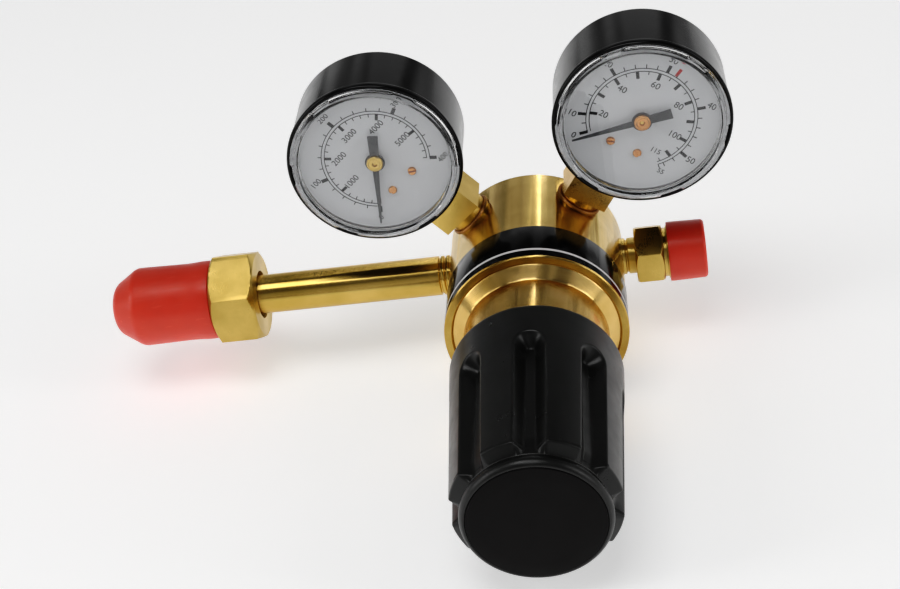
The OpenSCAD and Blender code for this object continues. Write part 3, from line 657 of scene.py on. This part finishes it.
def make_spring(name, moving_body, wire_r, turns):
    """A round-wire coil between a fixed back seat and a moving front one, closed up at its ends."""
    low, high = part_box(name)
    mean_r = (high.x - low.x) / 2 / MM - wire_r
    back, front = high.y / MM - wire_r, low.y / MM + wire_r
    bm = bmesh.new()
    rings = []
    for k in range(turns * COIL_STEPS + 1):
        t = k / (turns * COIL_STEPS)
        along = back + (front - back) * (0.65 * t + 0.175 * (1 - math.cos(math.pi * t)))
        angle = 2 * math.pi * k / COIL_STEPS
        ring = []
        for i in range(WIRE_SIDES):
            turn = 2 * math.pi * i / WIRE_SIDES
            r = mean_r + wire_r * math.cos(turn)
            y = along + wire_r * math.sin(turn)
            ring.append(bm.verts.new((r * math.sin(angle), y, r * math.cos(angle))))
        rings.append(ring)
    for a, b in zip(rings, rings[1:]):
        bridge(bm, a, b)
    bm.faces.new(rings[0])
    bm.faces.new(list(reversed(rings[-1])))
    ends = [(BODY_X, y * MM, 0) for y in (back, front)]
    bodies = ("regulator", moving_body, *ends)
    finish_piece(name + "_coil", bm, body_place(), bodies, MAT["steel"], (name,))


STUD_HOLE_R = 2.55
SEAM = 0.2


def make_diaphragm():
    """Rubber diaphragm, parted round its backing plate: a clamped rim and a middle that moves."""
    low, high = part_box("diaphragm")
    plate_low, plate_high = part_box("diaphragm_plate")
    back, front, r = high.y / MM, low.y / MM, (high.x - low.x) / 2 / MM
    seam = (plate_high.x - plate_low.x) / 2 / MM + SEAM
    for name, body, inner, outer in (("diaphragm_rim", "regulator", seam + SEAM, r),
                                     ("diaphragm_middle", "diaphragm_group", STUD_HOLE_R, seam)):
        bm = turned([(back, inner), (back, outer), (front, outer), (front, inner)], segments=96, ring=True)
        replaced = ("diaphragm",) if body == "regulator" else ()
        finish_piece(name, bm, body_place(), body, MAT["rubber"], replaced)


# ---- Inlet nut ----

THREAD_PITCH = 1.337
THREAD_DEPTH = 0.75


def hexagon_limit(across_flats, from_y, to_y):
    """A shape function that cuts a turned bar to a hexagon between two places, with a corner straight up."""
    def limit(angle, y, r):
        if not from_y <= y <= to_y:
            return y, r
        off_flat = (angle % (math.pi / 3)) - math.pi / 6
        return y, min(r, across_flats / 2 / math.cos(off_flat))
    return limit


def threaded(base, from_y, to_y, outer_r, depth):
    """A shape function that adds a right-hand thread between two places to another shape function."""
    def cut(angle, y, r):
        y, r = base(angle, y, r)
        if not from_y <= y <= to_y or r < outer_r - 1.6:
            return y, r
        phase = (y / THREAD_PITCH - angle / (2 * math.pi)) % 1
        groove = 1 - abs(2 * phase - 1)
        fade = smoothstep((y - from_y) / 1.2) * smoothstep((to_y - y) / 1.0)
        return y, r - depth * smoothstep(groove * 1.25 - 0.12) * fade
    return cut


def evenly(from_y, to_y, r, step):
    """Profile points along a straight stretch, close enough together to carry a shape."""
    count = max(1, round((to_y - from_y) / step))
    return [(from_y + (to_y - from_y) * i / count, r) for i in range(count + 1)]


NUT_THREAD_R = 11.45
NUT_BORE_R = 7.5
NUT_STEM_R = 6.45
NUT_SOCKET_R = 9.4
NUT_HEX_LENGTH = 14.7
NUT_CHAMFER = 1.6
NUT_CHAMFER_STEPS = 6


def make_inlet_nut():
    """Coupling nut: chamfered hexagon, male thread, and a counterbored hole for the stem."""
    low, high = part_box("inlet_nut")
    front, back = (low.x - BODY_X) / MM, (high.x - BODY_X) / MM
    corner_r = (high.z - low.z) / 2 / MM
    flats = corner_r * math.sqrt(3)
    hex_front = back - NUT_HEX_LENGTH
    face_r = flats / 2 - 0.5
    chamfer = [(NUT_CHAMFER * k / NUT_CHAMFER_STEPS, face_r + (corner_r - face_r) * k / NUT_CHAMFER_STEPS)
               for k in range(NUT_CHAMFER_STEPS + 1)]
    outside = [(back - 3.4, NUT_STEM_R), (back - 3.3, NUT_BORE_R), (back, NUT_BORE_R + 0.25)]
    outside += [(back - depth, r) for depth, r in chamfer]
    outside += [(hex_front + depth, r) for depth, r in reversed(chamfer)]
    outside += [(hex_front, NUT_THREAD_R)]
    outside += list(reversed(evenly(front + 1.0, hex_front - 0.1, NUT_THREAD_R, THREAD_PITCH / 10)))
    outside += [(front, NUT_THREAD_R - 0.9), (front, NUT_SOCKET_R)]
    outside += [(back - 23, NUT_SOCKET_R), (back - 26, NUT_STEM_R)]
    hexagon = hexagon_limit(flats, hex_front, back)
    shape = threaded(hexagon, front + 0.6, hex_front - 0.4, NUT_THREAD_R, THREAD_DEPTH)
    bm = turned(outside, segments=192, shape=shape, ring=True)
    material = MAT["turned_nut"]
    finish_piece("coupling_nut", bm, port_place(), "nut_group", material, ("inlet_nut",), sharp=20)


# ---- Gauges ----

DIAL_FRONT = -9.5
PRINT_T = 0.05
SWEEP = 135.0
RING_RADII = (15.25, 16.2)
RING_WIDTH = 0.24
ARC_STEPS = 96


def bar(angle, from_r, to_r, width):
    """A printed tick on the dial at a clockwise angle from the top."""
    bm = bmesh.new()
    turn = Matrix.Rotation(math.radians(angle), 4, "Y")
    corners = [(x, y, z) for x in (-width / 2, width / 2) for y in (DIAL_FRONT, DIAL_FRONT - PRINT_T)
               for z in (from_r, to_r)]
    verts = [bm.verts.new(turn @ Vector(corner)) for corner in corners]
    for face in ((0, 1, 3, 2), (4, 6, 7, 5), (0, 4, 5, 1), (2, 3, 7, 6), (0, 2, 6, 4), (1, 5, 7, 3)):
        bm.faces.new([verts[i] for i in face])
    return bm


def arc(from_angle, to_angle, from_r, to_r):
    """A printed arc on the dial."""
    bm = bmesh.new()
    rows = []
    for i in range(ARC_STEPS + 1):
        angle = math.radians(from_angle + (to_angle - from_angle) * i / ARC_STEPS)
        rows.append([bm.verts.new((r * math.sin(angle), y, r * math.cos(angle)))
                     for y, r in ((DIAL_FRONT, from_r), (DIAL_FRONT, to_r),
                                  (DIAL_FRONT - PRINT_T, to_r), (DIAL_FRONT - PRINT_T, from_r))])
    for a, b in zip(rows, rows[1:]):
        for k in range(4):
            bm.faces.new((a[k], a[(k + 1) % 4], b[(k + 1) % 4], b[k]))
    bm.faces.new(rows[0])
    bm.faces.new(list(reversed(rows[-1])))
    return bm


def scale_rings(from_angle, to_angle):
    """The two thin circles that part the outer scale from the inner one."""
    return [arc(from_angle, to_angle, r, r + RING_WIDTH) for r in RING_RADII]


def number(text, angle, r, size):
    """A printed number, upright on the dial, centred at a clockwise angle from the top."""
    curve = bpy.data.curves.new("number", "FONT")
    curve.body = text
    curve.size = size
    curve.align_x = "CENTER"
    curve.align_y = "CENTER"
    curve.extrude = PRINT_T / 2
    curve.resolution_u = 4
    holder = bpy.data.objects.new("number", curve)
    bpy.context.scene.collection.objects.link(holder)
    bpy.context.view_layer.update()
    mesh = bpy.data.meshes.new_from_object(holder)
    bpy.data.objects.remove(holder)
    bpy.data.curves.remove(curve)
    bm = bmesh.new()
    bm.from_mesh(mesh)
    bpy.data.meshes.remove(mesh)
    a = math.radians(angle)
    middle = Vector((r * math.sin(a), DIAL_FRONT - PRINT_T / 2, r * math.cos(a)))
    bm.transform(Matrix.Translation(middle) @ Matrix.Rotation(math.radians(90), 4, "X"))
    bmesh.ops.remove_doubles(bm, verts=bm.verts, dist=0.0005)
    return bm


def ticks(values, major_step, angle_of, major, minor):
    """A scale's ticks. major and minor each give a tick's inner radius, outer radius and width."""
    return [bar(angle_of(value), *(major if value % major_step == 0 else minor)) for value in values]


def numbers(values, angle_of, r, size):
    """A scale's numbers, all at one radius."""
    return [number(str(value), angle_of(value), r, size) for value in values]


def contents_print():
    """Cylinder pressure: an outer scale to 400 and an inner one to 5800."""
    def outer(value):
        return -SWEEP + 2 * SWEEP * value / 400

    def inner(value):
        return -SWEEP + 2 * SWEEP * value / 5800

    parts = scale_rings(-SWEEP, SWEEP)
    parts += ticks(range(0, 401, 20), 100, outer, (16.3, 18.4, 1.1), (16.3, 17.4, 0.28))
    parts += ticks(range(0, 5801, 200), 1000, inner, (13.3, 15.4, 0.9), (14.3, 15.4, 0.26))
    parts += numbers(range(0, 401, 100), outer, 20.35, 2.55)
    parts += numbers(range(1000, 5001, 1000), inner, 10.9, 2.75)
    return parts


# Spacings are in degrees per unit.
FLOW_END = SWEEP - 2
FLOW_SPACING = 5.45
FLOW_LOW_SPACING = 2.1
FLOW_INNER_SPACING = 2.53


def flow_print():
    """Flow: an outer scale to 55 that crowds near zero, and an inner one to 115."""
    def outer(value):
        return FLOW_END - (55 - value) * FLOW_SPACING if value >= 10 else value * FLOW_LOW_SPACING - FLOW_END

    def inner(value):
        return 92 + (value - 100) * FLOW_INNER_SPACING

    parts = scale_rings(outer(0), outer(55))
    parts += ticks((0, 5, *range(10, 56, 2), 55), 10, outer, (16.3, 18.75, 0.95), (16.3, 17.6, 0.28))
    parts += ticks(range(20, 116, 5), 10, inner, (13.1, 15.3, 0.95), (14.3, 15.3, 0.26))
    parts += numbers(range(0, 51, 10), outer, 20.55, 2.8)
    parts += numbers(range(20, 101, 20), inner, 11.3, 2.85)
    parts += numbers((55,), outer, 18.9, 2.2)
    parts += numbers((115,), inner, 11.7, 2.3)
    return parts


# Angle clockwise from the top, inner radius, outer radius and width.
RED_MARK = (6.5, 16.6, 19.2, 0.95)


def make_prints():
    """Each dial's printed scales, in one piece per colour."""
    for name, parts in (("contents", contents_print()), ("flow", flow_print())):
        bm = merged(parts)
        finish_piece(name + "_dial_print", bm, gauge_place(name), "regulator", MAT["print"])
    mark = bar(*RED_MARK)
    finish_piece("flow_dial_mark", mark, gauge_place("flow"), "regulator", MAT["red_print"])


CASE_BACK = 10.6
CASE_R = 26.0
BEAD_R = 26.5


def make_case(name):
    """Pressed gauge case: rounded back edge, rolled bead at the mouth, open at the front."""
    corners = [(CASE_BACK, 0, 0), (CASE_BACK, CASE_R, 1.4), (-10.6, CASE_R, 0.5), (-11.2, BEAD_R, 0.4),
               (-12.9, BEAD_R, 0.5), (-13.3, BEAD_R - 0.6, 0.3), (-13.0, CASE_R - 0.8, 0.2),
               (CASE_BACK - 1, CASE_R - 0.9, 0.8), (CASE_BACK - 1, 0, 0)]
    bm = turned(rounded(corners), segments=160)
    place, replaced = gauge_place(name), (name + "_case",)
    finish_piece(name + "_case_shell", bm, place, "regulator", MAT["case"], replaced)


LENS_TABS = 6
TAB_HALF = math.radians(7)
TAB_EDGE = math.radians(1.2)
TAB_FROM_R = 24.4
TAB_FROM_Y = -12.4
TAB_DROP = 0.35
TAB_INSET = 0.45


def lens_tabs(angle, y, r):
    """Steps the lens's outer bevel in at the bayonet tabs."""
    if r < TAB_FROM_R or y > TAB_FROM_Y:
        return y, r
    pitch = 2 * math.pi / LENS_TABS
    side = abs((angle + pitch / 3) % pitch - pitch / 2)
    step = 1 - smoothstep((side - TAB_HALF) / TAB_EDGE)
    return y + TAB_DROP * step, r - TAB_INSET * step


def make_lens(name):
    """Clear lens: a bevelled rim on a skirt, a groove at the window's edge, and a flat window."""
    outside = [(-14.25, 0, 0), (-14.25, 22.7, 0.1), (-13.95, 22.95, 0.1), (-14.75, 23.3, 0.15),
               (-14.8, 24.0, 0.3), (-13.7, 25.55, 0.35), (-12.5, 25.3, 0.2), (-12.2, 24.8, 0.2)]
    skirt = [(-9.7, 24.7, 0.15), (-9.7, 23.5, 0.15)]
    inside = [(-11.9, 23.3, 0.3), (-12.75, 22.8, 0.3), (-12.9, 22.0, 0.3), (-12.9, 0, 0)]
    bm = turned(rounded(outside + skirt + inside), segments=240, shape=lens_tabs)
    place, replaced = gauge_place(name), (name + "_lens",)
    finish_piece(name + "_lens_window", bm, place, "regulator", MAT["lens"], replaced)


# ---- Pointer boss and dial screws ----

HUB_R = 2.5
HUB_STEM_R = 1.25
HUB_BACK = -11.55
SCREW_R = 1.3
SCREW_HEAD = 0.6
SCREW_SLOT = 0.5
SCREW_CIRCLE = 11.5
# Degrees of each screw either side of straight down.
SCREW_SPREAD = 23.0
HEAD_STEPS = 24


def make_hub(name, key):
    """Pointer boss: a turned button with rounded edges, a rim line and a centre dimple."""
    low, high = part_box(name + "_hub")
    back, front = high.y / MM, low.y / MM
    corners = [(back, 0, 0), (back, HUB_STEM_R, 0), (HUB_BACK, HUB_STEM_R, 0), (HUB_BACK, HUB_R, 0.05),
               (front + 0.15, HUB_R, 0.3), (front, HUB_R - 0.4, 0.15), (front + 0.12, HUB_R - 0.7, 0.1),
               (front + 0.02, HUB_R - 1.0, 0.1), (front + 0.02, 0.75, 0.1), (front + 0.6, 0.6, 0.1),
               (front + 0.65, 0, 0)]
    bm = turned(rounded(corners), segments=72)
    body = name + "_pointer_group"
    finish_piece(name + "_pointer_boss", bm, gauge_place(name), body, MAT[key], (name + "_hub",))


def half_head(side):
    """Half of a slotted screw head, on one side of its slot."""
    bm = bmesh.new()
    limit = math.asin(SCREW_SLOT / 2 / SCREW_R)
    angles = [limit + (math.pi - 2 * limit) * k / HEAD_STEPS for k in range(HEAD_STEPS + 1)]
    front = DIAL_FRONT - SCREW_HEAD
    rows = []
    for y, r in ((DIAL_FRONT, SCREW_R), (front + 0.15, SCREW_R), (front, SCREW_R * 0.86)):
        rows.append([bm.verts.new((r * math.cos(a), y, side * max(r * math.sin(a), SCREW_SLOT / 2)))
                     for a in angles])
    for a, b in zip(rows, rows[1:]):
        bridge(bm, a, b)
    bm.faces.new(rows[0])
    bm.faces.new(list(reversed(rows[-1])))
    return bm


def make_dial_screws(name):
    """The two small slotted screws that hold the dial to its movement."""
    shank = [(DIAL_FRONT - 0.1, 0), (DIAL_FRONT - 0.1, SCREW_R * 0.97), (DIAL_FRONT + 2.3, 0.75),
             (DIAL_FRONT + 2.3, 0)]
    parts = []
    for side, slot_turn in ((-1, 35), (1, -20)):
        angle = math.radians(180 + side * SCREW_SPREAD)
        middle = Vector((SCREW_CIRCLE * math.sin(angle), 0, SCREW_CIRCLE * math.cos(angle)))
        screw = merged([half_head(1), half_head(-1), turned(shank, segments=48)])
        screw.transform(Matrix.Translation(middle) @ Matrix.Rotation(math.radians(slot_turn), 4, "Y"))
        parts.append(screw)
    bm = merged(parts)
    replaced = (name + "_dial_screws",)
    finish_piece(name + "_screws", bm, gauge_place(name), "regulator", MAT["copper"], replaced)


# ---- Label band ----

# Place of the line along the band, from 0 at the back to 1 at the front.
BAND_LINE_AT = 0.79
BAND_LINE_HALF = 0.5


def make_band_line():
    """The thin white line round the black band."""
    low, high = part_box("label_band")
    back, front = high.y / MM, low.y / MM
    r = (high.x - low.x) / 2 / MM
    middle = back + (front - back) * BAND_LINE_AT
    from_y, to_y = middle + BAND_LINE_HALF, middle - BAND_LINE_HALF
    profile = [(from_y, r - 0.05), (from_y, r + 0.03), (to_y, r + 0.03), (to_y, r - 0.05)]
    bm = turned(profile, segments=160, ring=True)
    finish_piece("band_line", bm, body_place(), "regulator", MAT["white"])


# ---- Camera, floor and light ----

CAMERA_AT = (162.65, -453.63, 298.67)
CAMERA_LOOKS_AT = (95.81, 0.0, -7.71)
CAMERA_ROLL = -10.61
CAMERA_LENS = 68.2


def make_camera():
    """The camera at the photograph's viewing angle. Its places are in millimetres."""
    place, target = Vector(CAMERA_AT) * MM, Vector(CAMERA_LOOKS_AT) * MM
    data = bpy.data.cameras.new("camera")
    data.lens = CAMERA_LENS
    data.sensor_width = 36
    data.clip_start = 0.01
    camera = bpy.data.objects.new("camera", data)
    facing = (target - place).to_track_quat("-Z", "Y").to_matrix().to_4x4()
    roll = Matrix.Rotation(math.radians(CAMERA_ROLL), 4, "Z")
    camera.matrix_world = Matrix.Translation(place) @ facing @ roll
    bpy.context.scene.collection.objects.link(camera)
    bpy.context.scene.camera = camera


def make_floor():
    """A wide pale floor, a little below white."""
    bm = bmesh.new()
    bmesh.ops.create_grid(bm, x_segments=2, y_segments=2, size=4)
    mesh = bpy.data.meshes.new("floor")
    bm.to_mesh(mesh)
    bm.free()
    material, tree, shader = new_material("floor_paper")
    grain = noise(tree, object_coords(tree), 300)
    paper = blended(tree, grain, (0.86, 0.86, 0.86, 1), (0.84, 0.84, 0.84, 1))
    tree.links.new(paper, shader.inputs["Base Color"])
    shader.inputs["Roughness"].default_value = 0.9
    shader.inputs["Emission Color"].default_value = (1, 1, 1, 1)
    shader.inputs["Emission Strength"].default_value = 0.45
    shader.inputs["Specular IOR Level"].default_value = 0.1
    mesh.materials.append(material)
    floor = bpy.data.objects.new("floor", mesh)
    floor.location = (0.1, 0, FLOOR_Z - 0.0002)
    bpy.context.scene.collection.objects.link(floor)


def soft_light(name, place, target, size, power, colour=(1, 1, 1)):
    """A rectangular soft light, placed in metres and turned to a target."""
    data = bpy.data.lights.new(name, "AREA")
    data.shape = "RECTANGLE"
    data.size, data.size_y = size
    data.energy = power
    data.color = colour
    light = bpy.data.objects.new(name, data)
    light.location = place
    light.rotation_euler = (Vector(target) - Vector(place)).to_track_quat("-Z", "Y").to_euler()
    bpy.context.scene.collection.objects.link(light)


BACKDROP = 0.86


def make_world():
    """Soft patches for the brass to reflect, darker overhead, behind an even pale backdrop."""
    world = bpy.data.worlds.new("studio")
    bpy.context.scene.world = world
    world.use_nodes = True
    tree = world.node_tree
    direction = tree.nodes.new("ShaderNodeTexCoord").outputs["Generated"]
    up = node(tree, "SeparateXYZ", {0: direction}).outputs["Z"]
    level = ranged(tree, up, 0.6, 0.2, 0.05, 0.75)
    uneven = noise(tree, stretched(tree, direction, (3.2, 0.8, 1.3)), 1.6, detail=1)
    patches = ranged(tree, uneven, 0.3, 1.1, 0.42, 0.6)
    background = tree.nodes["Background"]
    seen = tree.nodes.new("ShaderNodeLightPath").outputs["Is Camera Ray"]
    lit = math_node(tree, "MULTIPLY", level, patches)
    tree.links.new(ranged(tree, seen, lit, BACKDROP, 0, 1), background.inputs["Strength"])
    background.inputs["Color"].default_value = (1, 1, 1, 1)


def make_lights():
    """Large soft lights over and beside the part, and two weak strips behind it for the brass."""
    middle = (0.12, -0.04, 0.0)
    soft_light("back_strip", (0.17, 0.75, 0.62), middle, (0.055, 1.3), 0.8)
    soft_light("back_card", (0.55, 0.85, 0.45), middle, (0.14, 0.7), 0.6, (1, 0.93, 0.8))
    soft_light("overhead", (0.0, -0.3, 1.1), middle, (0.7, 0.5), 3.2)
    soft_light("left_softbox", (-1.0, -0.3, 0.6), middle, (0.4, 0.9), 3)
    soft_light("right_softbox", (1.2, -0.35, 0.5), middle, (0.3, 0.8), 2.2)


BRASS_LIGHTS = ("back_strip", "back_card")


def light_only_brass():
    """Keeps the two highlight strips off everything but the brass."""
    lit = bpy.data.collections.new("brass_lit")
    for piece in bpy.context.scene.objects:
        names = [slot.material.name for slot in piece.material_slots if slot.material]
        if any(name.startswith("brass") for name in names):
            lit.objects.link(piece)
    for name in BRASS_LIGHTS:
        bpy.data.objects[name].light_linking.receiver_collection = lit


DARK_TONES = ((0.0, 0.0), (0.03, 0.012), (0.1, 0.075), (0.3, 0.3), (1.0, 1.0))


def set_tone():
    """Plain display colours, with the darkest tones pulled down as in a contrasty studio shot."""
    view = bpy.context.scene.view_settings
    view.view_transform = "Standard"
    view.use_curve_mapping = True
    curve = view.curve_mapping.curves[3]
    curve.points[0].location = DARK_TONES[0]
    curve.points[-1].location = DARK_TONES[-1]
    for place in DARK_TONES[1:-1]:
        curve.points.new(*place)
    view.curve_mapping.update()


# ---- Build ----

make_camera()
make_floor()
make_world()
make_lights()
set_tone()

paint_nodes()
for part, rounding in SOFT_EDGES.items():
    soften_edges(part, rounding)
for part, rounding in GAUGE_SOFT_EDGES.items():
    for gauge_name in GAUGES:
        soften_edges(f"{gauge_name}_{part}", rounding)
make_knob()
make_knob_cap()
for spring, (moving, wire, coils) in SPRINGS.items():
    make_spring(spring, moving, wire, coils)
make_diaphragm()
make_inlet_nut()
make_inlet_cap()
make_outlet_cap()
for gauge_name in GAUGES:
    make_case(gauge_name)
    make_lens(gauge_name)
    make_dial_screws(gauge_name)
make_hub("contents", "milled")
make_hub("flow", "copper")
make_prints()
make_band_line()
light_only_brass()
